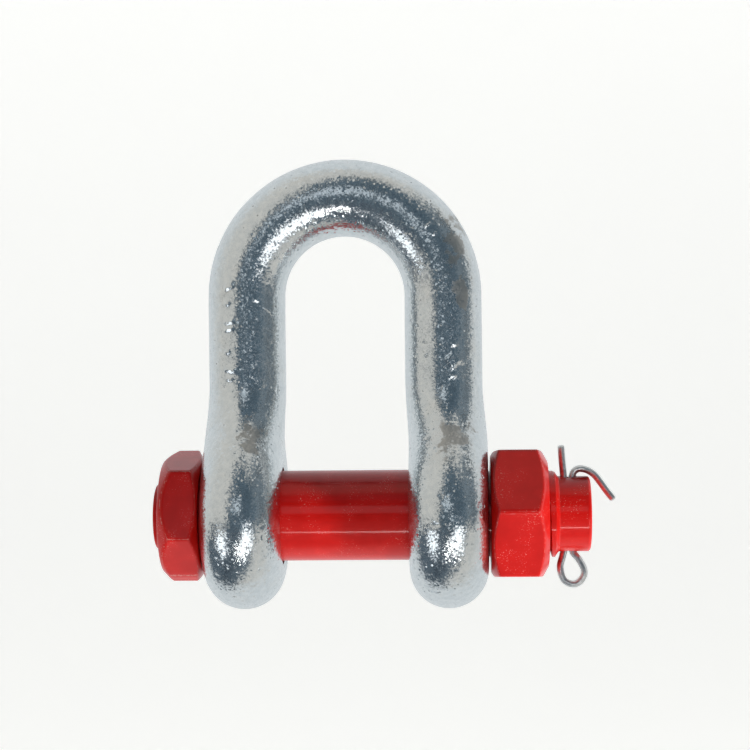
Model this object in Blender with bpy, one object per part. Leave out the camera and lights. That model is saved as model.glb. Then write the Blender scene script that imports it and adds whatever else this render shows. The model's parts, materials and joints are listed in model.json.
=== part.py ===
"""Dee shackle with a safety bolt: a forged D-shaped body with two pierced ears, a hexagon-headed bolt
through the ears, a hexagon nut on its thread and a split pin through its dog point.

The origin is on the bolt's axis, halfway between the ears. +X runs along the bolt to the nut, and +Z
runs up the middle of the D to the crown of the bow.
"""

import math

import bmesh
import bpy
from mathutils import Vector

MM = 0.001

# Dee body: a round bar bent into a D, with a flat-sided eye at the foot of each leg
BAR_RADIUS = 9.5 * MM
BOW_RADIUS = 24.0 * MM
BOW_HEIGHT = 53.5 * MM
EAR_RADIUS = 22.8 * MM
EAR_HALF = 9.7 * MM
EAR_CENTRE = 24.9 * MM
EAR_HOLE_RADIUS = 12.0 * MM
EAR_HOLE_CHAMFER = 0.5 * MM
NECK_BOTTOM = 16.5 * MM
NECK_TOP = 32.0 * MM
NECK_FILLET = 12.0 * MM

# Bolt: shank, thread crest, dog point, and a hexagon head with a boss and one corner trimmed to a flat
SEAT_GAP = 0.4 * MM
SEAT = EAR_CENTRE + EAR_HALF + SEAT_GAP
SHANK_RADIUS = 11.0 * MM
SHANK_END = 33.0 * MM
THREAD_RADIUS = 10.5 * MM
THREAD_END = 50.1 * MM
DOG_START = 51.5 * MM
DOG_END = 59.1 * MM
DOG_RADIUS = 9.15 * MM
DOG_ROUNDING = 0.8 * MM
HEAD_WIDTH = 28.8 * MM
HEAD_END = 44.7 * MM
HEAD_TURN = math.radians(-15.0)
HEAD_TRIM_TURN = math.radians(244.0)
HEAD_TRIM_REACH = 15.34 * MM
BOSS_RADIUS = 7.9 * MM
BOSS_END = 46.6 * MM
BOSS_CHAMFER = 0.3 * MM
SHANK_ROOT = 1.0 * MM

# Hexagon nut
NUT_WIDTH = 30.4 * MM
NUT_END = 48.9 * MM
NUT_TURN = math.radians(6.0)
NUT_BORE_RADIUS = THREAD_RADIUS + 0.35 * MM
NUT_COUNTERSINK = 0.5 * MM

# Both hexagons are turned to cones, down to a round face at each end; the head's outer cone is steeper
CONE_ANGLE = math.radians(30.0)
HEAD_CONE_ANGLE = math.radians(45.0)
HEAD_SEAT_RADIUS = 13.6 * MM
HEAD_FACE_RADIUS = 13.6 * MM
NUT_SEAT_RADIUS = 14.2 * MM
NUT_FACE_RADIUS = 13.0 * MM

# Split pin: a half-round wire doubled back on itself, its flat sides together in the cross hole
PIN_X = 53.8 * MM
PIN_HOLE_RADIUS = 2.25 * MM
WIRE_HALF_WIDTH = 1.8 * MM
WIRE_DEPTH = 1.7 * MM
TIP_ROUNDING = 0.6 * MM
TIP_SCALE = 0.6

# How far cutting bodies stand clear of what they cut
CUT_MARGIN = 2.0 * MM
CORNER_MARGIN = 1.0 * MM

# Facets round each section, and steps along each curve
BAR_FACETS = 40
BOW_STEPS = 26
FOOT_STEPS = 11
NECK_STEPS = 14
TURNED_FACETS = 48
HOLE_FACETS = 24
WIRE_FACETS = 8
WIRE_STEPS = 5
ROUNDING_STEPS = 3
HALVINGS = 40

SHARP_ANGLE = math.radians(32.0)


def clear_scene():
    for item in list(bpy.data.objects):
        bpy.data.objects.remove(item, do_unlink=True)


def finish_material(name, colour, roughness, metallic):
    material = bpy.data.materials.new(name)
    material.use_nodes = True
    shader = material.node_tree.nodes["Principled BSDF"]
    shader.inputs["Base Color"].default_value = (*colour, 1.0)
    shader.inputs["Roughness"].default_value = roughness
    shader.inputs["Metallic"].default_value = metallic
    return material


def object_from(name, points, faces, place=(0.0, 0.0, 0.0), parent=None):
    """One object from points and faces, its faces turned outwards and its round sides shaded smooth."""
    mesh = bpy.data.meshes.new(name)
    mesh.from_pydata(points, [], faces)
    shape = bmesh.new()
    shape.from_mesh(mesh)
    bmesh.ops.recalc_face_normals(shape, faces=shape.faces)
    shape.to_mesh(mesh)
    shape.free()
    mesh.shade_smooth()
    mesh.set_sharp_from_angle(angle=SHARP_ANGLE)
    item = bpy.data.objects.new(name, mesh)
    bpy.context.scene.collection.objects.link(item)
    item.parent = parent
    item.location = place
    return item


def loft(rings, first_pole, last_pole):
    """Points and faces of a closed skin through equal rings, drawn to one point at either end."""
    count = len(rings[0])
    points = [point for ring in rings for point in ring] + [first_pole, last_pole]
    first, last = len(points) - 2, len(points) - 1
    faces = []
    for step in range(len(rings) - 1):
        for side in range(count):
            after = (side + 1) % count
            low, high = step * count, (step + 1) * count
            faces.append((low + side, low + after, high + after, high + side))
    top = (len(rings) - 1) * count
    for side in range(count):
        after = (side + 1) % count
        faces.append((first, after, side))
        faces.append((last, top + side, top + after))
    return points, faces


def turned(name, profile, facets, place=(0.0, 0.0, 0.0), parent=None):
    """A solid turned about X from (x, radius) pairs; the first and last lie on the axis."""
    rings = []
    for x, radius in profile[1:-1]:
        angles = [2.0 * math.pi * step / facets for step in range(facets)]
        rings.append([(x, radius * math.cos(a), radius * math.sin(a)) for a in angles])
    points, faces = loft(rings, (profile[0][0], 0.0, 0.0), (profile[-1][0], 0.0, 0.0))
    return object_from(name, points, faces, place, parent)


def add_boolean(item, operation, tool):
    """Combine item with a tool body, which stays in the scene as a hidden guide."""
    tool.hide_render = True
    tool.display_type = "WIRE"
    step = item.modifiers.new(tool.name, "BOOLEAN")
    step.operation = operation
    step.solver = "EXACT"
    step.object = tool


def smooth_step(low, high, value):
    share = min(max((value - low) / (high - low), 0.0), 1.0)
    return share * share * (3.0 - 2.0 * share)


def depth_inside(y, z):
    """How deep a point of the side view lies inside the outline of eye and leg, filleted together."""
    eye = EAR_RADIUS - math.hypot(y, z)
    leg = BAR_RADIUS - math.hypot(y, min(z, 0.0))
    overlap = max(NECK_FILLET - abs(eye - leg), 0.0)
    return max(eye, leg) + overlap * overlap / (4.0 * NECK_FILLET)


def half_width(z):
    """Half the side view's width at height z, where the depth inside falls to nothing."""
    low, high = 0.0, EAR_RADIUS
    for _ in range(HALVINGS):
        middle = 0.5 * (low + high)
        if depth_inside(middle, z) > 0.0:
            low = middle
        else:
            high = middle
    return low


def half_thickness(y, z):
    """Half the body's thickness in X: a full round edge that runs into the ear's flat sides."""
    neck = smooth_step(NECK_BOTTOM, NECK_TOP, z)
    full = EAR_HALF + (BAR_RADIUS - EAR_HALF) * neck
    short = max(full - max(depth_inside(y, z), 0.0), 0.0)
    return math.sqrt(max(full * full - short * short, 0.0))


def leg_ring(side, z):
    """The section of one leg or ear at height z, as a ring of points."""
    neck = smooth_step(NECK_BOTTOM, NECK_TOP, z)
    centre = EAR_CENTRE + (BOW_RADIUS - EAR_CENTRE) * neck
    width = half_width(z)
    ring = []
    for step in range(BAR_FACETS):
        angle = 2.0 * math.pi * step / BAR_FACETS
        y = width * math.sin(angle)
        across = math.copysign(half_thickness(y, z), math.cos(angle))
        if step * 4 in (BAR_FACETS, 3 * BAR_FACETS):
            across = 0.0
        ring.append((side * (centre + across), y, z))
    return ring


def bow_ring(turn):
    """The round section of the bow, at an angle up from the right-hand leg."""
    ring = []
    for step in range(BAR_FACETS):
        angle = 2.0 * math.pi * step / BAR_FACETS
        reach = BOW_RADIUS + BAR_RADIUS * math.cos(angle)
        y = BAR_RADIUS * math.sin(angle)
        ring.append((reach * math.cos(turn), y, BOW_HEIGHT + reach * math.sin(turn)))
    return ring


def leg_heights():
    """Heights of the sections of a leg, from just above the foot of its eye to the bow."""
    turns = [0.5 * math.pi * step / FOOT_STEPS for step in range(1, FOOT_STEPS + 1)]
    foot = [-EAR_RADIUS * math.cos(turn) for turn in turns]
    neck = [NECK_TOP * step / NECK_STEPS for step in range(1, NECK_STEPS + 1)]
    return foot + neck


def make_body():
    heights = leg_heights()
    rings = [leg_ring(1.0, z) for z in heights]
    rings += [bow_ring(math.pi * step / BOW_STEPS) for step in range(BOW_STEPS + 1)]
    rings += [leg_ring(-1.0, z) for z in reversed(heights)]
    feet = [(side * EAR_CENTRE, 0.0, -EAR_RADIUS) for side in (1.0, -1.0)]
    points, faces = loft(rings, *feet)
    body = object_from("dee_body", points, faces)
    for side, name in ((-1.0, "left_hole"), (1.0, "right_hole")):
        add_boolean(body, "DIFFERENCE", make_ear_hole(name, side))
    body.data.materials.append(finish_material("galvanised steel", (0.58, 0.62, 0.64), 0.34, 1.0))
    return body


def make_ear_hole(name, side):
    """The bolt hole of one ear, chamfered at both faces of the ear."""
    wide = EAR_HOLE_RADIUS + 2.0 * EAR_HOLE_CHAMFER
    outside, inside = EAR_HALF + EAR_HOLE_CHAMFER, EAR_HALF - EAR_HOLE_CHAMFER
    profile = [(-outside, 0.0), (-outside, wide), (-inside, EAR_HOLE_RADIUS)]
    profile += [(inside, EAR_HOLE_RADIUS), (outside, wide), (outside, 0.0)]
    return turned(name, profile, TURNED_FACETS, (side * EAR_CENTRE, 0.0, 0.0))


def hexagon_flats(width, turn):
    """A hexagon's six flats as (angle of the normal from +Y, distance), one corner turned up from -Y."""
    return [(math.pi - turn + math.pi * (step + 0.5) / 3.0, 0.5 * width) for step in range(6)]


def corner_between(first, second):
    """Where two neighbouring flats of a bar meet, as (y, z)."""
    spread = math.sin(second[0] - first[0])
    y = (first[1] * math.sin(second[0]) - second[1] * math.sin(first[0])) / spread
    z = (second[1] * math.cos(first[0]) - first[1] * math.cos(second[0])) / spread
    return y, z


def flat_sided_bar(name, flats, low, high, place, parent):
    """A plain bar along X inside a ring of flats."""
    corners = [corner_between(*pair) for pair in zip(flats, flats[1:] + flats[:1])]
    rings = [[(x, y, z) for y, z in corners] for x in (low, high)]
    points, faces = loft(rings, (low, 0.0, 0.0), (high, 0.0, 0.0))
    return object_from(name, points, faces, place, parent)


def cone_limits(name, width, low, low_face, high, high_face, place, parent, low_angle=CONE_ANGLE):
    """The turned shape that takes a hexagon's corners off at both ends."""
    reach = 0.5 * width / math.cos(math.pi / 6.0) + CORNER_MARGIN
    low_rise = (reach - low_face) * math.tan(low_angle)
    high_rise = (reach - high_face) * math.tan(CONE_ANGLE)
    profile = [(low, 0.0), (low, low_face), (low + low_rise, reach)]
    profile += [(high - high_rise, reach), (high, high_face), (high, 0.0)]
    return turned(name, profile, TURNED_FACETS, place, parent)


def make_bolt(paint):
    profile = [
        (-BOSS_END, 0.0),
        (-BOSS_END, BOSS_RADIUS - BOSS_CHAMFER),
        (-BOSS_END + BOSS_CHAMFER, BOSS_RADIUS),
        (-SEAT - SHANK_ROOT, BOSS_RADIUS),
        (-SEAT - SHANK_ROOT, SHANK_RADIUS),
        (SHANK_END, SHANK_RADIUS),
        (SHANK_END + SHANK_RADIUS - THREAD_RADIUS, THREAD_RADIUS),
        (THREAD_END, THREAD_RADIUS),
        (DOG_START, DOG_RADIUS),
    ]
    for step in range(ROUNDING_STEPS + 1):
        turn = 0.5 * math.pi * step / ROUNDING_STEPS
        x = DOG_END - DOG_ROUNDING + DOG_ROUNDING * math.sin(turn)
        profile.append((x, DOG_RADIUS - DOG_ROUNDING + DOG_ROUNDING * math.cos(turn)))
    profile.append((DOG_END, 0.0))
    bolt = turned("bolt", profile, TURNED_FACETS)
    flats = hexagon_flats(HEAD_WIDTH, HEAD_TURN)
    flats.insert(1, (HEAD_TRIM_TURN, HEAD_TRIM_REACH))
    head = flat_sided_bar("head_bar", flats, -HEAD_END, -SEAT, (0.0, 0.0, 0.0), bolt)
    cones = cone_limits(
        "head_cones",
        HEAD_WIDTH,
        -HEAD_END,
        HEAD_FACE_RADIUS,
        -SEAT,
        HEAD_SEAT_RADIUS,
        (0.0, 0.0, 0.0),
        bolt,
        HEAD_CONE_ANGLE,
    )
    add_boolean(head, "INTERSECT", cones)
    add_boolean(bolt, "UNION", head)
    add_boolean(bolt, "DIFFERENCE", make_cross_hole(bolt))
    bolt.data.materials.append(paint)
    return bolt


def make_cross_hole(bolt):
    """The split pin's hole, a round bar along Z through the dog point."""
    length = DOG_RADIUS + CUT_MARGIN
    profile = [(-length, 0.0), (-length, PIN_HOLE_RADIUS), (length, PIN_HOLE_RADIUS), (length, 0.0)]
    hole = turned("cross_hole", profile, HOLE_FACETS, (PIN_X, 0.0, 0.0), bolt)
    hole.rotation_euler = (0.0, 0.5 * math.pi, 0.0)
    return hole


def make_nut(bolt, paint):
    """The nut, its own origin on the bolt's axis in the middle of its length."""
    middle = 0.5 * (SEAT + NUT_END)
    half = 0.5 * (NUT_END - SEAT)
    place = (middle, 0.0, 0.0)
    nut = flat_sided_bar("hex_nut", hexagon_flats(NUT_WIDTH, NUT_TURN), -half, half, place, bolt)
    cones = cone_limits(
        "nut_cones", NUT_WIDTH, -half, NUT_SEAT_RADIUS, half, NUT_FACE_RADIUS, place, bolt
    )
    wide = NUT_BORE_RADIUS + 2.0 * NUT_COUNTERSINK
    outside, inside = half + NUT_COUNTERSINK, half - NUT_COUNTERSINK
    profile = [(-outside, 0.0), (-outside, wide), (-inside, NUT_BORE_RADIUS)]
    profile += [(inside, NUT_BORE_RADIUS), (outside, wide), (outside, 0.0)]
    bore = turned("nut_bore", profile, TURNED_FACETS, place, bolt)
    add_boolean(nut, "INTERSECT", cones)
    add_boolean(nut, "DIFFERENCE", bore)
    nut.data.materials.append(paint)
    return nut


def smooth_route(anchors, steps):
    """Points on a smooth curve through the anchors."""
    ends = [anchors[0] * 2.0 - anchors[1]] + anchors + [anchors[-1] * 2.0 - anchors[-2]]
    route = []
    for place in range(1, len(ends) - 2):
        before, start, end, after = ends[place - 1 : place + 3]
        for step in range(steps):
            t = step / steps
            leave = (end - before) * 0.5
            arrive = (after - start) * 0.5
            point = start * (2 * t**3 - 3 * t**2 + 1) + leave * (t**3 - 2 * t**2 + t)
            point += end * (3 * t**2 - 2 * t**3) + arrive * (t**3 - t**2)
            route.append(point)
    route.append(anchors[-1])
    return route


def pin_anchors():
    """The flat side of the split pin's wire, as (x, z) from the middle of its hole.

    It runs down the straight leg, round the eye, back up through the hole and over the dog point.
    """
    straight_leg = [(-0.65, 16.2), (-0.4, 12.5), (-0.15, 8.8), (-0.15, 3.0), (-0.15, -3.0), (-0.15, -8.2)]
    eye = [(-0.55, -10.4), (-1.15, -13.0), (-0.4, -15.6), (1.6, -16.2), (3.0, -14.3), (1.9, -11.7)]
    back = [(0.3, -9.6), (0.15, -7.0), (0.15, -3.0), (0.15, 3.0), (0.15, 8.0)]
    bent_leg = [(0.75, 10.5), (2.4, 11.7), (4.7, 11.5), (6.9, 10.2), (8.6, 8.1), (10.0, 6.1), (11.4, 4.3)]
    return [Vector((x * MM, 0.0, z * MM)) for x, z in straight_leg + eye + back + bent_leg]


def make_split_pin(bolt):
    """The split pin, its own origin in the middle of its hole, swept as a half-round wire."""
    route = smooth_route(pin_anchors(), WIRE_STEPS)
    last = len(route) - 1
    rings = [wire_ring(route[0] + outwards_from(route, 0) * TIP_ROUNDING, route, 0, TIP_SCALE)]
    rings += [wire_ring(point, route, place, 1.0) for place, point in enumerate(route)]
    rings.append(wire_ring(route[last] + outwards_from(route, last) * TIP_ROUNDING, route, last, TIP_SCALE))
    points, faces = loft(rings, middle_of(rings[0]), middle_of(rings[-1]))
    pin = object_from("split_pin", points, faces, (PIN_X, 0.0, 0.0), bolt)
    pin.data.materials.append(finish_material("plain steel", (0.42, 0.42, 0.42), 0.38, 1.0))
    return pin


def outwards_from(route, place):
    """The direction in which the wire's end points, at its first or its last place."""
    inner = 1 if place == 0 else place - 1
    return (route[place] - route[inner]).normalized()


def wire_ring(point, route, place, scale):
    """A half-round ring, its flat side through the point and its round side away from the eye."""
    before, after = route[max(place - 1, 0)], route[min(place + 1, len(route) - 1)]
    along = (after - before).normalized()
    out = Vector((along.z, 0.0, -along.x))
    middle = point + out * (0.5 * WIRE_DEPTH * (1.0 - scale))
    ring = []
    for step in range(WIRE_FACETS + 1):
        angle = math.pi * (step / WIRE_FACETS - 0.5)
        depth = out * (WIRE_DEPTH * scale * math.cos(angle))
        side = Vector((0.0, WIRE_HALF_WIDTH * scale * math.sin(angle), 0.0))
        ring.append(tuple(middle + depth + side))
    return ring


def middle_of(ring):
    return tuple(sum((Vector(point) for point in ring), Vector()) / len(ring))


def main():
    clear_scene()
    paint = finish_material("red paint", (0.56, 0.018, 0.012), 0.24, 0.0)
    make_body()
    bolt = make_bolt(paint)
    make_nut(bolt, paint)
    make_split_pin(bolt)


main()
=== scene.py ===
import json
import math

import bmesh
import bpy
import numpy as np
from mathutils import Matrix, Vector, noise


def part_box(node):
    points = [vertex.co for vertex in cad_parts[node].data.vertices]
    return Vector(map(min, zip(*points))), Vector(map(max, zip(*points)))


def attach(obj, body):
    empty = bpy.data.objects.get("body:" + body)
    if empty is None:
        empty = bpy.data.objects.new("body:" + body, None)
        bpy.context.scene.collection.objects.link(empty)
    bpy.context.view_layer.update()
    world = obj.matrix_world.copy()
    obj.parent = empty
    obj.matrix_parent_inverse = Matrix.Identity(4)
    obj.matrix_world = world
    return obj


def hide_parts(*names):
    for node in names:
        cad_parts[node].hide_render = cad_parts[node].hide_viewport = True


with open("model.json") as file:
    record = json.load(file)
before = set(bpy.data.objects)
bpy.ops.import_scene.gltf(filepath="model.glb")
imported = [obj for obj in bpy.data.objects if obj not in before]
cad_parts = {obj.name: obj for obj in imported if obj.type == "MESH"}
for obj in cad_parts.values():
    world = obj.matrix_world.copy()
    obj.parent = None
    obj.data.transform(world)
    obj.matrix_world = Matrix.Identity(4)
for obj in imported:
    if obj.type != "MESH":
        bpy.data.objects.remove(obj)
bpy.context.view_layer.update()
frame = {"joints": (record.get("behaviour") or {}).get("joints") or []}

MM = 0.001

# What the frame gives: the places of the body's ears and bow, the bolt's ends, the nut and the split pin
BODY_LOW, BODY_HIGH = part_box("dee_body")
BOLT_LOW, BOLT_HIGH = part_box("bolt")
NUT_LOW, NUT_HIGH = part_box("hex_nut")
JOINTS = {joint["name"]: joint for joint in frame["joints"]}

# Dee body
BAR_RADIUS = 9.5 * MM
BOW_RADIUS = 24.0 * MM
BOW_HEIGHT = BODY_HIGH.z - BOW_RADIUS - BAR_RADIUS
EAR_RADIUS = BODY_HIGH.y
EAR_HALF = 9.7 * MM
EAR_CENTRE = BODY_HIGH.x - EAR_HALF
EAR_HOLE_RADIUS = 12.0 * MM
EAR_HOLE_CHAMFER = 0.6 * MM
NECK_BOTTOM = 16.5 * MM
NECK_TOP = 32.0 * MM
NECK_FILLET = 12.0 * MM
BODY_SKIN = 0.10 * MM

# Bolt
SEAT = NUT_LOW.x
HEAD_SEAT = -SEAT
SHANK_RADIUS = 11.0 * MM
SHANK_END = 33.0 * MM
THREAD_RADIUS = 10.5 * MM
THREAD_PITCH = 2.5 * MM
THREAD_DEPTH = 1.35 * MM
THREAD_END = 50.5 * MM
DOG_START = 51.5 * MM
DOG_END = BOLT_HIGH.x
DOG_RADIUS = 9.15 * MM
DOG_ROUNDING = 0.8 * MM
HEAD_WIDTH = 28.8 * MM
HEAD_END = -44.7 * MM
HEAD_TURN = math.radians(-15.0)
BOSS_RADIUS = 7.9 * MM
BOSS_END = BOLT_LOW.x
BOSS_ROUNDING = 0.35 * MM
BOSS_FILLET = 0.5 * MM
SHANK_ROOT = 0.3 * MM
SHANK_STEP = 0.5 * MM

# One corner of the head is taken off by a flat: the angle of its normal from +Y, and its distance
HEAD_TRIM_TURN = math.radians(244.0)
HEAD_TRIM_REACH = 15.34 * MM

# Nut
NUT_WIDTH = 30.4 * MM
NUT_END = NUT_HIGH.x
NUT_TURN = math.radians(6.0)
NUT_BORE_RADIUS = 10.85 * MM
NUT_COUNTERSINK = 0.7 * MM

# Both hexagons are turned to cones at their ends; the head's outer cone is steeper
CONE_ANGLE = math.radians(30.0)
HEAD_SEAT_RADIUS = 13.6 * MM
HEAD_FACE_RADIUS = 13.6 * MM
HEAD_CONE_ANGLE = math.radians(45.0)
NUT_SEAT_RADIUS = 14.2 * MM
NUT_FACE_RADIUS = 13.0 * MM
EDGE_ROUNDING = 0.5 * MM

# Split pin
PIN_X = JOINTS["split_pin_turn"]["pos_m"][0]
PIN_HOLE_RADIUS = 2.25 * MM
PIN_CENTRE = Vector((PIN_X, 0.0, 0.0))
WIRE_HALF_WIDTH = 1.8 * MM
WIRE_DEPTH = 1.7 * MM
WIRE_BELLY = 0.38
TIP_LENGTH = 0.55 * MM
TIP_SCALE = 0.4

# How finely the surfaces are drawn
BODY_SIDES = 176
BODY_STEP = 0.36 * MM
TURNED_SIDES = 288
HOLE_SIDES = 128
WIRE_SIDES = 28
WIRE_STEPS = 14
TIP_STEPS = 5
HALVINGS = 40
HEAD_SPACING = 0.5 * MM
THREAD_SPACING = 0.13 * MM
DOG_SPACING = 0.3 * MM
BORE_SPACING = 0.2 * MM
TOUCH = 0.01 * MM

# The camera, level with the middle of the D and a little to its right
CAMERA_PLACE = Vector((27.5, -440.0, 34.2)) * MM
CAMERA_AIM = Vector((7.2, 0.0, 34.2)) * MM
CAMERA_ROLL = math.radians(-0.6)
VIEW_WIDTH = 183.3 * MM


def smooth_step(low, high, value):
    share = min(max((value - low) / (high - low), 0.0), 1.0)
    return share * share * (3.0 - 2.0 * share)


def soft_min(a, b, width):
    """The lower of two radii, their meeting edge rounded over a width."""
    near = max(width - abs(a - b), 0.0)
    return min(a, b) - near * near / (4.0 * width)


def mesh_object(name, points, faces, sharp):
    """One piece of the object, its faces turned outwards and shaded smooth up to a sharp angle."""
    mesh = bpy.data.meshes.new(name)
    mesh.from_pydata([tuple(point) for point in points], [], faces)
    shape = bmesh.new()
    shape.from_mesh(mesh)
    bmesh.ops.recalc_face_normals(shape, faces=shape.faces)
    shape.to_mesh(mesh)
    shape.free()
    mesh.shade_smooth()
    mesh.set_sharp_from_angle(angle=math.radians(sharp))
    item = bpy.data.objects.new(name, mesh)
    bpy.context.scene.collection.objects.link(item)
    return item


def loft(rings, poles=None):
    """Points and faces through equal rings: capped at two poles, or joined end to start."""
    count, sides = len(rings), len(rings[0])
    points = [point for ring in rings for point in ring]
    faces = []
    for step in range(count if poles is None else count - 1):
        low, high = step * sides, (step + 1) % count * sides
        for side in range(sides):
            after = (side + 1) % sides
            faces.append((low + side, low + after, high + after, high + side))
    if poles is not None:
        first, last, top = len(points), len(points) + 1, (count - 1) * sides
        points += poles
        for side in range(sides):
            after = (side + 1) % sides
            faces.append((first, after, side))
            faces.append((last, top + side, top + after))
    return points, faces


def store(item, name, values):
    """A number at each vertex, for the material to read."""
    layer = item.data.attributes.new(name, "FLOAT", "POINT")
    layer.data.foreach_set("value", np.array(values, np.float32))


def cut(item, tool):
    """Take the tool's shape out of the piece for good."""
    step = item.modifiers.new("cut", "BOOLEAN")
    step.operation = "DIFFERENCE"
    step.solver = "EXACT"
    step.object = tool
    bpy.context.view_layer.update()
    graph = bpy.context.evaluated_depsgraph_get()
    made = bpy.data.meshes.new_from_object(item.evaluated_get(graph), depsgraph=graph)
    item.modifiers.remove(step)
    item.data = made
    bpy.data.objects.remove(tool, do_unlink=True)
    made.set_sharp_from_angle(angle=math.radians(35.0))


def turned(name, profile, sides, turn=None):
    """A plain turned tool from (x, radius) pairs, about X or about another axis."""
    rings = []
    for x, radius in profile[1:-1]:
        angles = [2.0 * math.pi * side / sides for side in range(sides)]
        rings.append([(x, radius * math.cos(a), radius * math.sin(a)) for a in angles])
    poles = [(profile[0][0], 0.0, 0.0), (profile[-1][0], 0.0, 0.0)]
    points, faces = loft(rings, poles)
    item = mesh_object(name, points, faces, 35.0)
    if turn is not None:
        item.data.transform(turn)
    return item


# ---------------------------------------------------------------- the forged body


def depth_inside(y, z):
    """How far a point lies inside the leg's outline seen along X: a round eye blended into a round bar."""
    eye = EAR_RADIUS - math.hypot(y, z)
    leg = BAR_RADIUS - math.hypot(y, min(z, 0.0))
    overlap = max(NECK_FILLET - abs(eye - leg), 0.0)
    return max(eye, leg) + overlap * overlap / (4.0 * NECK_FILLET)


def half_width(z):
    """Half the leg's size along Y at a height, found by halving."""
    low, high = 0.0, EAR_RADIUS
    for _ in range(HALVINGS):
        middle = 0.5 * (low + high)
        if depth_inside(middle, z) > 0.0:
            low = middle
        else:
            high = middle
    return low


def half_thickness(y, z, neck):
    full = EAR_HALF + (BAR_RADIUS - EAR_HALF) * neck
    short = max(full - max(depth_inside(y, z), 0.0), 0.0)
    return math.sqrt(max(full * full - short * short, 0.0))


def leg_ring(side, z):
    neck = smooth_step(NECK_BOTTOM, NECK_TOP, z)
    centre = EAR_CENTRE + (BOW_RADIUS - EAR_CENTRE) * neck
    width = half_width(z)
    ring = []
    for step in range(BODY_SIDES):
        angle = 2.0 * math.pi * step / BODY_SIDES
        y = width * math.sin(angle)
        across = math.copysign(half_thickness(y, z, neck), math.cos(angle))
        if step * 4 in (BODY_SIDES, 3 * BODY_SIDES):
            across = 0.0
        ring.append((side * (centre + across), y, z))
    return ring


def bow_ring(turn):
    ring = []
    for step in range(BODY_SIDES):
        angle = 2.0 * math.pi * step / BODY_SIDES
        reach = BOW_RADIUS + BAR_RADIUS * math.cos(angle)
        y = BAR_RADIUS * math.sin(angle)
        ring.append((reach * math.cos(turn), y, BOW_HEIGHT + reach * math.sin(turn)))
    return ring


def body_rings():
    foot_steps = round(0.5 * math.pi * EAR_RADIUS / BODY_STEP)
    leg_steps = round(BOW_HEIGHT / BODY_STEP)
    bow_steps = round(math.pi * (BOW_RADIUS + 0.5 * BAR_RADIUS) / BODY_STEP)
    heights = [-EAR_RADIUS * math.cos(0.5 * math.pi * step / foot_steps) for step in range(1, foot_steps + 1)]
    heights += [BOW_HEIGHT * step / leg_steps for step in range(1, leg_steps)]
    rings = [leg_ring(1.0, z) for z in heights]
    rings += [bow_ring(math.pi * step / bow_steps) for step in range(bow_steps + 1)]
    rings += [leg_ring(-1.0, z) for z in reversed(heights)]
    return rings


# Raised forging marks that stand for no letter or sign: (x, z, length, width, turn) in mm and degrees
BARS = (
    (-27.4, 56.0, 2.2, 1.5, 20.0),
    (-27.8, 51.8, 1.0, 1.0, 45.0),
    (-27.4, 47.4, 2.4, 0.9, 8.0),
    (-27.4, 45.6, 2.0, 0.7, 8.0),
    (-27.8, 40.2, 1.1, 1.1, 40.0),
    (-27.2, 35.8, 2.6, 0.8, -12.0),
    (-27.4, 33.6, 1.4, 0.7, -12.0),
    (26.6, 41.4, 1.4, 0.7, 0.0),
    (26.4, 37.6, 3.0, 3.0, 45.0),
    (26.2, 33.8, 1.6, 0.7, 10.0),
    (20.4, 69.8, 2.2, 0.6, 35.0),
    (22.0, 67.8, 1.4, 0.5, 20.0),
    (-19.0, 51.0, 5.6, 0.3, -42.0),
)
MARK_HEIGHT = 0.24 * MM
MARK_EDGE = 0.32


def mark_height(x, z):
    """How far the forging marks on the body's front stand proud at a point given in mm."""
    nearest = 9.0
    for centre_x, centre_z, length, width, turn in BARS:
        along = math.radians(turn)
        across_x, across_z = x - centre_x, z - centre_z
        u = across_x * math.cos(along) + across_z * math.sin(along)
        v = across_z * math.cos(along) - across_x * math.sin(along)
        nearest = min(nearest, max(abs(u) - 0.5 * length, abs(v) - 0.5 * width))
    return MARK_HEIGHT * smooth_step(MARK_EDGE, -MARK_EDGE, nearest) if nearest < MARK_EDGE else 0.0


# Brown flux stains: where they lie (x, z), how wide and how tall, in mm
STAINS = ((27.5, 66.0, 3.5, 9.0), (26.0, 19.5, 5.5, 4.5), (-22.0, 19.5, 3.6, 5.0), (28.5, 55.0, 2.6, 7.0))


def stain_at(x, z):
    worst = 0.0
    for centre_x, centre_z, wide, tall in STAINS:
        worst = max(worst, math.exp(-(((x - centre_x) / wide) ** 2) - ((z - centre_z) / tall) ** 2))
    return worst


def forge(item):
    """Give the body its forged skin: slow waves, small dents and the raised marks."""
    mesh = item.data
    count = len(mesh.vertices)
    points = np.empty(count * 3, np.float32)
    mesh.vertices.foreach_get("co", points)
    points = points.reshape(-1, 3).astype(float)
    normals = np.array([vertex.normal[:] for vertex in mesh.vertices])
    moves, stains = np.empty(count), np.empty(count)
    for place, point in enumerate(points):
        spot = Vector(point) / MM
        wave = noise.noise(spot / 9.0)
        ripple = noise.noise(spot / 2.6 + Vector((40.0, 7.0, 3.0)))
        dent = max(noise.noise(spot / 1.5 + Vector((9.0, 80.0, 31.0))) - 0.42, 0.0)
        move = -BODY_SKIN + (0.045 * wave + 0.018 * ripple - 0.35 * dent) * MM
        front = point[1] < 0.0
        moves[place] = move + (mark_height(spot.x, spot.z) if front else 0.0)
        stains[place] = stain_at(spot.x, spot.z) * (1.0 if front else 0.5)
    points += normals * moves[:, None]
    mesh.vertices.foreach_set("co", points.astype(np.float32).ravel())
    store(item, "stain", stains)


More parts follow.
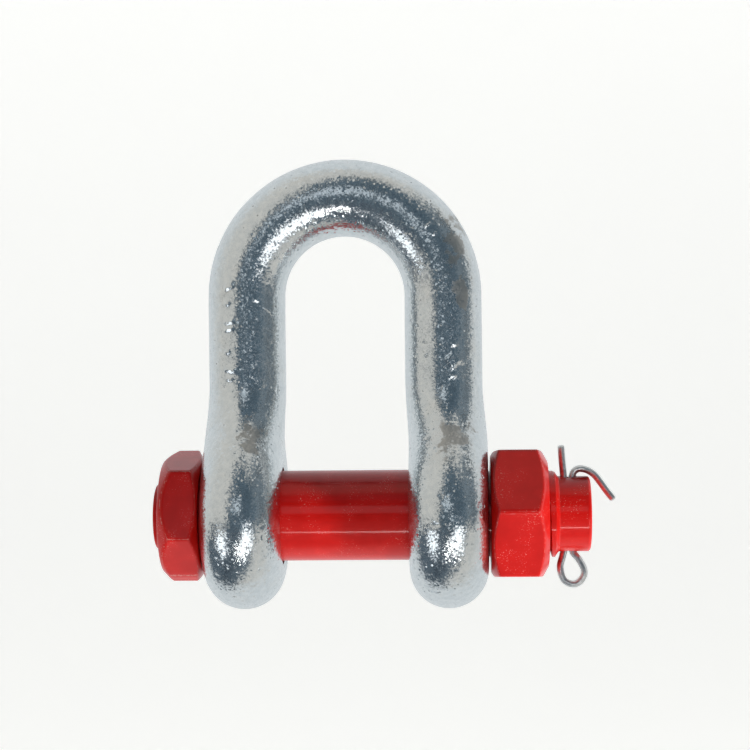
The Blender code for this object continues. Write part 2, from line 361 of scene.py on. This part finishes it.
def ear_hole(side):
    """A tool for the bolt's hole through one ear, chamfered at both faces."""
    wide = EAR_HOLE_RADIUS + 2.0 * EAR_HOLE_CHAMFER
    outside, inside = EAR_HALF + EAR_HOLE_CHAMFER, EAR_HALF - EAR_HOLE_CHAMFER
    profile = [(-outside, 0.0), (-outside, wide), (-inside, EAR_HOLE_RADIUS)]
    profile += [(inside, EAR_HOLE_RADIUS), (outside, wide), (outside, 0.0)]
    return turned("ear_hole", profile, HOLE_SIDES, Matrix.Translation((side * EAR_CENTRE, 0.0, 0.0)))


def make_body():
    feet = [(side * EAR_CENTRE, 0.0, -EAR_RADIUS) for side in (1.0, -1.0)]
    points, faces = loft(body_rings(), feet)
    body = mesh_object("forged_dee_body", points, faces, 60.0)
    forge(body)
    for side in (-1.0, 1.0):
        cut(body, ear_hole(side))
    return body


# ---------------------------------------------------------------- bolt and nut


def hexagon_radius(angle, width, turn):
    """The radius of a hexagon's edge at an angle about X, its corners rounded, and how near a corner is."""
    third = math.pi / 3.0
    from_corner = (angle - math.pi + turn + 0.5 * third) % third - 0.5 * third
    flat = 0.5 * width
    first = flat / math.cos(0.5 * third - abs(from_corner))
    other = flat / math.cos(0.5 * third + abs(from_corner))
    near = max(1.0 - abs(other - first) / EDGE_ROUNDING, 0.0)
    return soft_min(first, other, EDGE_ROUNDING), near


def thread_cut(x, angle, start, end, runout):
    """How deep the right-hand helical groove is at a place, fading out at both ends."""
    phase = (x / THREAD_PITCH - angle / (2.0 * math.pi)) % 1.0
    ridge = abs(2.0 * phase - 1.0)
    groove = smooth_step(0.6, 1.0, ridge)
    fade = smooth_step(start, start + runout, x) * smooth_step(end, end - runout, x)
    return THREAD_DEPTH * groove * fade


def arc(centre_x, centre_r, radius, start, end, steps):
    turns = [math.radians(start + (end - start) * step / steps) for step in range(steps + 1)]
    return [(centre_x + radius * math.cos(t), centre_r + radius * math.sin(t)) for t in turns]


def resample(profile, spacing):
    """Put extra points on the long stretches of a profile."""
    dense = []
    for start, end in zip(profile, profile[1:]):
        steps = max(1, math.ceil(math.dist(start, end) / spacing))
        for step in range(steps):
            share = step / steps
            dense.append(tuple(a + (b - a) * share for a, b in zip(start, end)))
    dense.append(profile[-1])
    return dense


def hexagon_profile(low, low_face, high, high_face, width, low_angle=CONE_ANGLE):
    """From the low face out over both cones to the high face; the hexagon cuts it back where it is wider."""
    reach = 0.5 * width / math.cos(math.pi / 6.0) + 1.2 * MM
    rise = math.tan(CONE_ANGLE)
    edge = 0.25 * MM
    return [
        (low, low_face - edge),
        (low + 0.15 * edge, low_face - 0.3 * edge),
        (low + 0.6 * edge, low_face + 0.5 * edge),
        (low + (reach - low_face) * math.tan(low_angle), reach),
        (high - (reach - high_face) * rise, reach),
        (high - 0.6 * edge, high_face + 0.5 * edge),
        (high - 0.15 * edge, high_face - 0.3 * edge),
        (high, high_face - edge),
    ]


def turned_piece(name, profile, radius_at, poles):
    """A loft about X whose radius at each place comes from a rule, with the wear that the rule gives."""
    rings, wear = [], []
    for x, radius in profile:
        ring = []
        for side in range(TURNED_SIDES):
            angle = 2.0 * math.pi * side / TURNED_SIDES
            reach, worn = radius_at(x, radius, angle)
            ring.append((x, reach * math.cos(angle), reach * math.sin(angle)))
            wear.append(worn)
        rings.append(ring)
    points, faces = loft(rings, poles)
    if poles is not None:
        wear += [0.0, 0.0]
    item = mesh_object(name, points, faces, 50.0)
    store(item, "wear", wear)
    return item


def hexagon_rule(width, turn, low, high, trim=None):
    """The radius and wear of a hexagon between two planes, and of a plain turned shape outside them.

    A trim, as an angle and a distance, takes one corner off with a flat of its own.
    """

    def rule(x, radius, angle):
        if not low - TOUCH <= x <= high + TOUCH or radius < 0.5 * width - 3.0 * MM:
            return radius, 0.0
        corner, near = hexagon_radius(angle, width, turn)
        if trim is not None and math.cos(angle - trim[0]) > 0.5:
            flat = trim[1] / math.cos(angle - trim[0])
            near = max(near if flat > corner else 0.0, 1.0 - abs(flat - corner) / EDGE_ROUNDING)
            corner = soft_min(corner, flat, EDGE_ROUNDING)
        rim = max(1.0 - abs(radius - corner) / EDGE_ROUNDING, 0.0)
        return soft_min(radius, corner, EDGE_ROUNDING), max(rim, near if radius > corner else 0.0)

    return rule


def rim_wear(x, radius, rim, reach):
    """How worn a place is by a rim, given as (x, radius), that wears over a reach round it."""
    return max(1.0 - math.dist((x, radius), rim) / reach, 0.0)


def bolt_profile():
    """The bolt's (x, radius) pairs, from the boss on its head to the end of its dog point."""
    head = [(BOSS_END, 0.6 * BOSS_RADIUS)]
    head += arc(BOSS_END + BOSS_ROUNDING, BOSS_RADIUS - BOSS_ROUNDING, BOSS_ROUNDING, 180.0, 90.0, 5)
    head += arc(HEAD_END - BOSS_FILLET, BOSS_RADIUS + BOSS_FILLET, BOSS_FILLET, 270.0, 360.0, 5)
    head += hexagon_profile(
        HEAD_END, HEAD_FACE_RADIUS, HEAD_SEAT, HEAD_SEAT_RADIUS, HEAD_WIDTH, HEAD_CONE_ANGLE
    )
    head += [(HEAD_SEAT, SHANK_RADIUS + SHANK_ROOT), (HEAD_SEAT + SHANK_ROOT, SHANK_RADIUS)]
    head += [(SHANK_END, SHANK_RADIUS), (SHANK_END + SHANK_STEP, THREAD_RADIUS)]
    thread = [(SHANK_END + SHANK_STEP, THREAD_RADIUS), (THREAD_END, THREAD_RADIUS)]
    dog = [(THREAD_END, THREAD_RADIUS), (THREAD_END + 0.7 * MM, DOG_RADIUS + 0.25 * MM)]
    dog += [(DOG_START, DOG_RADIUS)]
    dog += arc(DOG_END - DOG_ROUNDING, DOG_RADIUS - DOG_ROUNDING, DOG_ROUNDING, 90.0, 0.0, 8)
    dog += [(DOG_END, 0.5 * DOG_RADIUS)]
    profile = resample(head, HEAD_SPACING)[:-1] + resample(thread, THREAD_SPACING)
    return profile[:-1] + resample(dog, DOG_SPACING)


def bolt_rule():
    """The bolt's radius and wear at a place: a hexagon head, a plain shank, a thread and a dog point."""
    trim = (HEAD_TRIM_TURN, HEAD_TRIM_REACH)
    head = hexagon_rule(HEAD_WIDTH, HEAD_TURN, HEAD_END, HEAD_SEAT, trim)

    def rule(x, radius, angle):
        if x < HEAD_SEAT + TOUCH:
            reach, worn = head(x, radius, angle)
            return reach, max(worn, rim_wear(x, radius, (BOSS_END, BOSS_RADIUS), 0.6 * MM))
        if SHANK_END < x < DOG_START:
            depth = thread_cut(x, angle, SHANK_END, THREAD_END + 0.2 * MM, 0.8 * MM)
            reach = max(radius - depth, DOG_RADIUS) if radius > DOG_RADIUS else radius
            return reach, 0.4 * max(1.0 - (THREAD_RADIUS - reach) / (0.25 * MM), 0.0)
        return radius, rim_wear(x, radius, (DOG_END, DOG_RADIUS), 0.9 * MM)

    return rule


def make_bolt():
    poles = [(BOSS_END, 0.0, 0.0), (DOG_END, 0.0, 0.0)]
    bolt = turned_piece("red_bolt", bolt_profile(), bolt_rule(), poles)
    length = DOG_RADIUS + 2.0 * MM
    hole = [(-length, 0.0), (-length, PIN_HOLE_RADIUS), (length, PIN_HOLE_RADIUS), (length, 0.0)]
    upright = Matrix.Translation(PIN_CENTRE) @ Matrix.Rotation(0.5 * math.pi, 4, "Y")
    cut(bolt, turned("cross_hole", hole, HOLE_SIDES, upright))
    return bolt


def make_nut():
    wide = NUT_BORE_RADIUS + NUT_COUNTERSINK
    outside = hexagon_profile(SEAT, NUT_SEAT_RADIUS, NUT_END, NUT_FACE_RADIUS, NUT_WIDTH)
    outside = resample([(SEAT, wide)] + outside + [(NUT_END, wide)], HEAD_SPACING)
    low, high = SEAT + NUT_COUNTERSINK, NUT_END - NUT_COUNTERSINK
    bore = [(NUT_END, wide), (high, NUT_BORE_RADIUS), (low, NUT_BORE_RADIUS), (SEAT, wide)]
    bore = resample(bore, BORE_SPACING)
    profile = outside[:-1] + bore[:-1]
    shell = hexagon_rule(NUT_WIDTH, NUT_TURN, SEAT, NUT_END)

    def rule(x, radius, angle):
        if radius <= wide + TOUCH:
            phase = (x / THREAD_PITCH - angle / (2.0 * math.pi)) % 1.0
            ridge = smooth_step(0.15, 0.9, abs(2.0 * phase - 1.0))
            fade = smooth_step(SEAT, SEAT + 1.5 * MM, x) * smooth_step(NUT_END, NUT_END - 1.5 * MM, x)
            return radius + 0.7 * MM * (1.0 - ridge) * fade, 0.0
        return shell(x, radius, angle)

    return turned_piece("red_hexagon_nut", profile, rule, None)


# ---------------------------------------------------------------- split pin


def smooth_route(anchors, steps):
    """Points on a smooth curve through the anchors."""
    ends = [anchors[0] * 2.0 - anchors[1]] + anchors + [anchors[-1] * 2.0 - anchors[-2]]
    route = []
    for place in range(1, len(ends) - 2):
        before, start, end, after = ends[place - 1 : place + 3]
        for step in range(steps):
            t = step / steps
            leave = (end - before) * 0.5
            arrive = (after - start) * 0.5
            point = start * (2 * t**3 - 3 * t**2 + 1) + leave * (t**3 - 2 * t**2 + t)
            point += end * (3 * t**2 - 2 * t**3) + arrive * (t**3 - t**2)
            route.append(point)
    route.append(anchors[-1])
    return route


def pin_anchors():
    """The flat side of the split pin's wire, as (x, z) in mm from the middle of its hole."""
    straight_leg = [(-0.65, 16.2), (-0.4, 12.5), (-0.15, 8.8), (-0.15, 3.0), (-0.15, -3.0), (-0.15, -8.2)]
    eye = [(-0.55, -10.4), (-1.15, -13.0), (-0.4, -15.6), (1.6, -16.2), (3.0, -14.3), (1.9, -11.7)]
    back = [(0.3, -9.6), (0.15, -7.0), (0.15, -3.0), (0.15, 3.0), (0.15, 8.0)]
    bent_leg = [(0.75, 10.5), (2.4, 11.7), (4.7, 11.5), (6.9, 10.2), (8.6, 8.1), (10.0, 6.1), (11.4, 4.3)]
    return [Vector((x * MM, 0.0, z * MM)) for x, z in straight_leg + eye + back + bent_leg]


def wire_ring(point, along, scale):
    """A half-round ring with well rounded corners, its flat side through the point."""
    out = Vector((along.z, 0.0, -along.x))
    middle = point + out * (0.5 * WIRE_DEPTH * (1.0 - scale))
    ring = []
    for step in range(WIRE_SIDES):
        angle = 2.0 * math.pi * step / WIRE_SIDES
        rise = math.cos(angle)
        if rise > 0.0:
            depth = WIRE_BELLY + (1.0 - WIRE_BELLY) * rise
        else:
            depth = WIRE_BELLY * (1.0 - abs(rise) ** 0.6)
        side = WIRE_HALF_WIDTH * math.sin(angle)
        ring.append(middle + (out * (WIRE_DEPTH * depth) + Vector((0.0, side, 0.0))) * scale)
    return ring


def tip_rings(end, inner, forwards):
    """The shrinking rings that round off one end of the wire, from that end outwards."""
    outwards = (end - inner).normalized()
    along = outwards if forwards else -outwards
    rings = []
    for step in range(1, TIP_STEPS):
        turn = 0.5 * math.pi * step / TIP_STEPS
        tip = end + outwards * (TIP_LENGTH * math.sin(turn))
        rings.append(wire_ring(PIN_CENTRE + tip, along, TIP_SCALE + (1.0 - TIP_SCALE) * math.cos(turn)))
    return rings


def make_pin():
    route = smooth_route(pin_anchors(), WIRE_STEPS)
    last = len(route) - 1
    rings = tip_rings(route[0], route[1], False)[::-1]
    for place, point in enumerate(route):
        before, after = route[max(place - 1, 0)], route[min(place + 1, last)]
        rings.append(wire_ring(PIN_CENTRE + point, (after - before).normalized(), 1.0))
    rings += tip_rings(route[last], route[last - 1], True)
    poles = [sum(ring, Vector()) / len(ring) for ring in (rings[0], rings[-1])]
    points, faces = loft(rings, poles)
    pin = mesh_object("steel_split_pin", points, faces, 45.0)
    store(pin, "around", [side / WIRE_SIDES for _ in rings for side in range(WIRE_SIDES)] + [0.0, 0.0])
    return pin


# ---------------------------------------------------------------- materials


class Nodes:
    """Small helpers that add and join the nodes of one tree."""

    def __init__(self, tree):
        self.tree = tree

    def add(self, kind, **settings):
        node = self.tree.nodes.new(kind)
        for name, value in settings.items():
            setattr(node, name, value)
        return node

    def feed(self, socket, value):
        if isinstance(value, bpy.types.NodeSocket):
            self.tree.links.new(value, socket)
        else:
            socket.default_value = value

    def math(self, operation, a, b=None, clamp=False):
        node = self.add("ShaderNodeMath", operation=operation, use_clamp=clamp)
        self.feed(node.inputs[0], a)
        if b is not None:
            self.feed(node.inputs[1], b)
        return node.outputs[0]

    def vector_math(self, operation, a, b):
        node = self.add("ShaderNodeVectorMath", operation=operation)
        self.feed(node.inputs[0], a)
        self.feed(node.inputs[1], b)
        return node

    def step(self, value, low, high):
        node = self.add("ShaderNodeMapRange", interpolation_type="SMOOTHSTEP")
        self.feed(node.inputs["Value"], value)
        node.inputs["From Min"].default_value = low
        node.inputs["From Max"].default_value = high
        return node.outputs["Result"]

    def span(self, value, low, high):
        """Stretch a share from 0 to 1 over another range."""
        node = self.add("ShaderNodeMapRange")
        self.feed(node.inputs["Value"], value)
        node.inputs["To Min"].default_value = low
        node.inputs["To Max"].default_value = high
        return node.outputs["Result"]

    def blend(self, share, first, second):
        node = self.add("ShaderNodeMix", data_type="RGBA")
        self.feed(node.inputs["Factor"], share)
        self.feed(node.inputs["A"], first)
        self.feed(node.inputs["B"], second)
        return node.outputs["Result"]

    def glaze(self, colour, mask, strength, tint):
        """Lay a tint over a colour where a mask says, at no more than a strength."""
        return self.blend(self.math("MULTIPLY", mask, strength), colour, tint)

    def noise(self, place, size, detail=3.0, roughness=0.55):
        """Noise whose features are about one size across, in metres."""
        node = self.add("ShaderNodeTexNoise")
        self.feed(node.inputs["Vector"], place)
        node.inputs["Scale"].default_value = 1.0 / size
        node.inputs["Detail"].default_value = detail
        node.inputs["Roughness"].default_value = roughness
        return node.outputs["Fac"]

    def cells(self, place, size, feature="F1"):
        node = self.add("ShaderNodeTexVoronoi", feature=feature)
        self.feed(node.inputs["Vector"], place)
        node.inputs["Scale"].default_value = 1.0 / size
        return node

    def bump(self, height, distance, strength, normal=None):
        node = self.add("ShaderNodeBump")
        self.feed(node.inputs["Height"], height)
        node.inputs["Distance"].default_value = distance
        node.inputs["Strength"].default_value = strength
        if normal is not None:
            self.feed(node.inputs["Normal"], normal)
        return node.outputs["Normal"]

    def tilt(self, normal, lean, amount):
        """Lean the surface a little one way or another in each cell of a texture's colour."""
        centred = self.vector_math("SUBTRACT", lean, (0.5, 0.5, 0.5)).outputs[0]
        scale = self.vector_math("SCALE", centred, (0.0, 0.0, 0.0))
        self.feed(scale.inputs["Scale"], amount)
        total = self.vector_math("ADD", normal, scale.outputs[0]).outputs[0]
        return self.vector_math("NORMALIZE", total, (0.0, 0.0, 0.0)).outputs[0]


def shaded(name, **values):
    """A new material with uniform values set on its shader, ready for its textures."""
    material = bpy.data.materials.new(name)
    material.use_nodes = True
    nodes = Nodes(material.node_tree)
    shader = material.node_tree.nodes["Principled BSDF"]
    for socket, value in values.items():
        shader.inputs[socket.replace("_", " ")].default_value = value
    place = nodes.add("ShaderNodeTexCoord").outputs["Object"]
    return material, nodes, shader, place


def rust_mask(nodes, place):
    """Ragged brown stains, where the mesh says that they lie."""
    stain = nodes.add("ShaderNodeAttribute", attribute_name="stain").outputs["Fac"]
    ragged = nodes.noise(place, 3.2 * MM, 5.0, 0.7)
    rusty = nodes.step(nodes.math("ADD", stain, nodes.span(ragged, -1.6, 1.6)), 0.55, 0.85)
    return nodes.math("MULTIPLY", rusty, nodes.step(stain, 0.05, 0.4))


def pit_mask(nodes, place, cloud):
    pit = nodes.step(nodes.cells(place, 2.3 * MM).outputs["Distance"], 0.13, 0.05)
    return nodes.math("MULTIPLY", pit, nodes.step(cloud, 0.46, 0.6))


def scratch_mask(nodes, place, patch):
    """Fine scratches, long because their noise is stretched one way, in some patches only."""
    stretched = nodes.add("ShaderNodeMapping")
    nodes.feed(stretched.inputs["Vector"], place)
    stretched.inputs["Rotation"].default_value = (0.3, 0.5, 0.2)
    stretched.inputs["Scale"].default_value = (1.0, 1.0, 0.16)
    scratch = nodes.noise(stretched.outputs[0], 0.22 * MM, 2.0)
    return nodes.math("MULTIPLY", nodes.step(scratch, 0.66, 0.74), nodes.step(patch, 0.44, 0.6))


def zinc_colour(nodes, cloud, patch, rusty, pit, scratch):
    colour = nodes.blend(nodes.step(cloud, 0.3, 0.7), (0.645, 0.68, 0.695, 1.0), (0.72, 0.745, 0.75, 1.0))
    colour = nodes.glaze(colour, nodes.step(patch, 0.5, 0.75), 0.2, (0.68, 0.65, 0.59, 1.0))
    colour = nodes.glaze(colour, rusty, 0.6, (0.30, 0.27, 0.23, 1.0))
    colour = nodes.glaze(colour, pit, 0.7, (0.22, 0.23, 0.235, 1.0))
    return nodes.glaze(colour, scratch, 0.45, (0.28, 0.29, 0.30, 1.0))


def crystals(nodes, place, normal):
    """Small crystals that each lean a little their own way, and a few that lean much more."""
    grain = nodes.cells(place, 0.34 * MM).outputs["Color"]
    fleck = nodes.cells(place, 0.45 * MM).outputs["Color"]
    normal = nodes.tilt(normal, grain, 0.14)
    chance = nodes.add("ShaderNodeSeparateXYZ")
    nodes.feed(chance.inputs[0], fleck)
    lean = nodes.math("MULTIPLY", nodes.step(chance.outputs[2], 0.8, 1.0), 0.4)
    return nodes.tilt(normal, fleck, lean)


def zinc_material():
    material, nodes, shader, place = shaded("bright zinc coating", Metallic=1.0)
    fine = nodes.noise(place, 0.5 * MM, 4.0, 0.65)
    cloud = nodes.noise(place, 1.6 * MM, 4.0, 0.6)
    patch = nodes.noise(place, 7.0 * MM, 3.0)
    rusty = rust_mask(nodes, place)
    pit = pit_mask(nodes, place, cloud)
    scratch = scratch_mask(nodes, place, patch)
    nodes.feed(shader.inputs["Base Color"], zinc_colour(nodes, cloud, patch, rusty, pit, scratch))
    rough = nodes.math("ADD", nodes.span(fine, 0.10, 0.30), nodes.math("MULTIPLY", rusty, 0.2))
    nodes.feed(shader.inputs["Roughness"], rough)
    normal = nodes.bump(fine, 0.016 * MM, 0.8)
    normal = nodes.bump(cloud, 0.022 * MM, 0.6, normal)
    normal = nodes.bump(pit, -0.05 * MM, 0.8, normal)
    normal = nodes.bump(scratch, 0.02 * MM, 0.8, normal)
    nodes.feed(shader.inputs["Normal"], crystals(nodes, place, normal))
    return material


def paint_material():
    material, nodes, shader, place = shaded(
        "glossy red paint",
        Metallic=0.0,
        Specular_IOR_Level=0.15,
        Coat_Weight=0.45,
        Coat_Roughness=0.08,
        Coat_IOR=1.5,
    )
    peel = nodes.noise(place, 1.4 * MM, 2.0)
    dust = nodes.noise(place, 0.28 * MM, 2.0)
    patch = nodes.noise(place, 6.0 * MM, 3.0)
    wear = nodes.add("ShaderNodeAttribute", attribute_name="wear").outputs["Fac"]
    chipped = nodes.math("ADD", wear, nodes.span(nodes.noise(place, 0.8 * MM, 4.0, 0.7), -0.75, 0.55))
    chipped = nodes.step(chipped, 0.62, 0.95)
    fleck = nodes.math("MULTIPLY", nodes.step(dust, 0.64, 0.70), nodes.step(patch, 0.48, 0.64))
    colour = nodes.blend(nodes.step(patch, 0.3, 0.7), (0.56, 0.006, 0.0035, 1.0), (0.66, 0.009, 0.006, 1.0))
    colour = nodes.glaze(colour, fleck, 0.7, (0.85, 0.45, 0.38, 1.0))
    colour = nodes.glaze(colour, chipped, 0.6, (0.72, 0.34, 0.30, 1.0))
    nodes.feed(shader.inputs["Base Color"], colour)
    nodes.feed(shader.inputs["Roughness"], nodes.span(chipped, 0.3, 0.5))
    normal = nodes.bump(peel, 0.02 * MM, 0.5)
    normal = nodes.bump(chipped, -0.03 * MM, 0.6, normal)
    nodes.feed(shader.inputs["Normal"], normal)
    return material


def steel_material():
    material, nodes, shader, place = shaded("drawn steel wire", Metallic=1.0)
    around = nodes.add("ShaderNodeAttribute", attribute_name="around").outputs["Fac"]
    lines = nodes.add("ShaderNodeCombineXYZ")
    nodes.feed(lines.inputs["X"], nodes.math("MULTIPLY", around, 6.0 * MM))
    drawn = nodes.noise(lines.outputs["Vector"], 0.12 * MM, 2.0)
    cloud = nodes.noise(place, 0.9 * MM, 4.0, 0.65)
    dark = nodes.step(nodes.noise(place, 0.35 * MM, 3.0, 0.6), 0.56, 0.7)
    colour = nodes.blend(nodes.step(cloud, 0.3, 0.7), (0.56, 0.555, 0.54, 1.0), (0.80, 0.79, 0.77, 1.0))
    colour = nodes.glaze(colour, dark, 0.55, (0.2, 0.19, 0.18, 1.0))
    nodes.feed(shader.inputs["Base Color"], colour)
    nodes.feed(shader.inputs["Roughness"], nodes.span(cloud, 0.26, 0.45))
    normal = nodes.bump(drawn, 0.01 * MM, 0.5)
    normal = nodes.bump(cloud, 0.03 * MM, 0.5, normal)
    nodes.feed(shader.inputs["Normal"], normal)
    return material


# ---------------------------------------------------------------- light, floor and camera


def sky_patch(nodes, azimuth, elevation, at, half, soft):
    """A soft-edged oval share of the surroundings, round a direction in degrees."""
    across = nodes.math("DIVIDE", nodes.math("SUBTRACT", azimuth, at[0]), half[0])
    up = nodes.math("DIVIDE", nodes.math("SUBTRACT", elevation, at[1]), half[1])
    across = nodes.math("POWER", nodes.math("ABSOLUTE", across), 2.6)
    up = nodes.math("POWER", nodes.math("ABSOLUTE", up), 2.6)
    return nodes.step(nodes.math("ADD", across, up), 1.0 + soft, 1.0 - soft)


# The dark side round the camera, then the lights in it: direction, half size (degrees), softness, colour
SHADES = (
    ((68.0, 22.0), (26.0, 32.0), 0.4, (0.17, 0.21, 0.24)),
    ((12.0, -4.0), (40.0, 68.0), 0.3, (0.085, 0.125, 0.16)),
    ((-50.0, -45.0), (66.0, 38.0), 0.3, (0.085, 0.115, 0.145)),
)
LIGHTS = (
    ((-3.0, 18.0), (11.0, 9.0), 0.5, (0.74, 0.82, 0.88)),
    ((-50.0, -27.0), (15.0, 12.0), 0.4, (1.7, 1.78, 1.85)),
    ((28.0, -25.0), (16.0, 14.0), 0.4, (1.9, 1.93, 1.96)),
    ((8.0, -39.0), (17.0, 2.0), 0.3, (10.0, 9.9, 9.8)),
)
SHADE_DEPTHS = (0.35, 1.7)
DIFFUSE_CUT = 0.7
BLACK = (0.0, 0.0, 0.0, 1.0)
PAPER_WHITE = (0.96, 0.96, 0.95, 1.0)


def directions(nodes):
    """The direction that a ray leaves in, and its azimuth from -Y and elevation in degrees."""
    split = nodes.add("ShaderNodeSeparateXYZ")
    direction = nodes.add("ShaderNodeTexCoord").outputs["Generated"]
    nodes.feed(split.inputs[0], direction)
    x, y, z = split.outputs
    azimuth = nodes.math("DEGREES", nodes.math("ARCTAN2", x, nodes.math("MULTIPLY", y, -1.0)))
    return direction, azimuth, nodes.math("DEGREES", nodes.math("ARCSINE", z))


def mottling(nodes, direction):
    detail = nodes.add("ShaderNodeTexNoise")
    nodes.feed(detail.inputs["Vector"], direction)
    detail.inputs["Scale"].default_value = 9.0
    detail.inputs["Detail"].default_value = 3.0
    return nodes.step(detail.outputs["Fac"], 0.38, 0.64)


def make_studio():
    """White surroundings with a mottled dark side where the camera stands, and soft lights in front."""
    world = bpy.data.worlds.new("studio")
    bpy.context.scene.world = world
    world.use_nodes = True
    nodes = Nodes(world.node_tree)
    direction, azimuth, elevation = directions(nodes)
    side = nodes.step(nodes.math("ABSOLUTE", azimuth), 70.0, 130.0)
    colour = nodes.blend(side, (0.68, 0.67, 0.635, 1.0), (0.76, 0.80, 0.82, 1.0))
    depth = mottling(nodes, direction)
    for at, half, soft, level in SHADES:
        deep, pale = [(*(depth_share * part for part in level), 1.0) for depth_share in SHADE_DEPTHS]
        share = sky_patch(nodes, azimuth, elevation, at, half, soft)
        colour = nodes.blend(share, colour, nodes.blend(depth, deep, pale))
    for at, half, soft, level in LIGHTS:
        share = sky_patch(nodes, azimuth, elevation, at, half, soft)
        colour = nodes.blend(share, colour, (*level, 1.0))
    rays = nodes.add("ShaderNodeLightPath")
    colour = nodes.glaze(colour, rays.outputs["Is Diffuse Ray"], DIFFUSE_CUT, BLACK)
    colour = nodes.blend(rays.outputs["Is Camera Ray"], colour, PAPER_WHITE)
    nodes.feed(world.node_tree.nodes["Background"].inputs["Color"], colour)


def make_key_light():
    """A soft light low on the right, whose highlight is drawn by the studio's own bright patch."""
    data = bpy.data.lights.new("key", "AREA")
    data.size = 0.06
    data.energy = 3.6
    light = bpy.data.objects.new("key", data)
    bpy.context.scene.collection.objects.link(light)
    azimuth, elevation, distance = math.radians(64.0), math.radians(-8.0), 0.7
    level = math.cos(elevation)
    away = Vector((math.sin(azimuth) * level, -math.cos(azimuth) * level, math.sin(elevation)))
    light.location = away * distance
    light.rotation_euler = away.to_track_quat("Z", "Y").to_euler()
    light.visible_glossy = False
    light.visible_camera = False


def make_floor():
    """A pale sweep of paper: a floor some way below the shackle, which curves up into a backdrop."""
    size = BODY_HIGH.z - BODY_LOW.z
    level, reach, bend, top = BODY_LOW.z - 4.0 * size, 25.0 * size, 12.0 * size, 40.0 * size
    outline = [(-reach, level), (0.5 * reach, level)]
    turns = [math.radians(90.0 * step / 24) for step in range(1, 25)]
    outline += [(0.5 * reach + bend * math.sin(t), level + bend * (1.0 - math.cos(t))) for t in turns]
    outline.append((0.5 * reach + bend, top))
    points = [(side * 2.0 * reach, y, z) for y, z in outline for side in (-1.0, 1.0)]
    faces = [(2 * step, 2 * step + 1, 2 * step + 3, 2 * step + 2) for step in range(len(outline) - 1)]
    floor = mesh_object("floor", points, faces, 60.0)
    material, nodes, shader, place = shaded(
        "pale paper", Roughness=0.9, Emission_Color=(1.0, 1.0, 0.98, 1.0), Emission_Strength=0.58
    )
    tone = nodes.blend(nodes.noise(place, 0.4, 2.0), (0.86, 0.86, 0.845, 1.0), (0.89, 0.89, 0.875, 1.0))
    nodes.feed(shader.inputs["Base Color"], tone)
    floor.data.materials.append(material)
    floor.visible_glossy = False
    floor.visible_shadow = False


def make_camera():
    data = bpy.data.cameras.new("camera")
    camera = bpy.data.objects.new("camera", data)
    bpy.context.scene.collection.objects.link(camera)
    bpy.context.scene.camera = camera
    sight = CAMERA_AIM - CAMERA_PLACE
    turn = sight.to_track_quat("-Z", "Y").to_matrix() @ Matrix.Rotation(CAMERA_ROLL, 3, "Z")
    camera.location = CAMERA_PLACE
    camera.rotation_euler = turn.to_euler()
    data.sensor_width = 36.0
    data.lens = data.sensor_width * sight.length / VIEW_WIDTH
    data.clip_start = 0.01


def dress(piece, material, body, node):
    """Give a piece its material, hang it on the empty of the body that it rides on, and hide the CAD node
    that it replaces.
    """
    piece.data.materials.clear()
    piece.data.materials.append(material)
    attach(piece, body)
    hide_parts(node)


bpy.context.scene.view_settings.view_transform = "Standard"
make_camera()
make_studio()
make_key_light()
make_floor()
red = paint_material()
dress(make_body(), zinc_material(), "body", "dee_body")
dress(make_bolt(), red, "bolt", "bolt")
dress(make_nut(), red, "nut", "hex_nut")
dress(make_pin(), steel_material(), "split_pin", "split_pin")
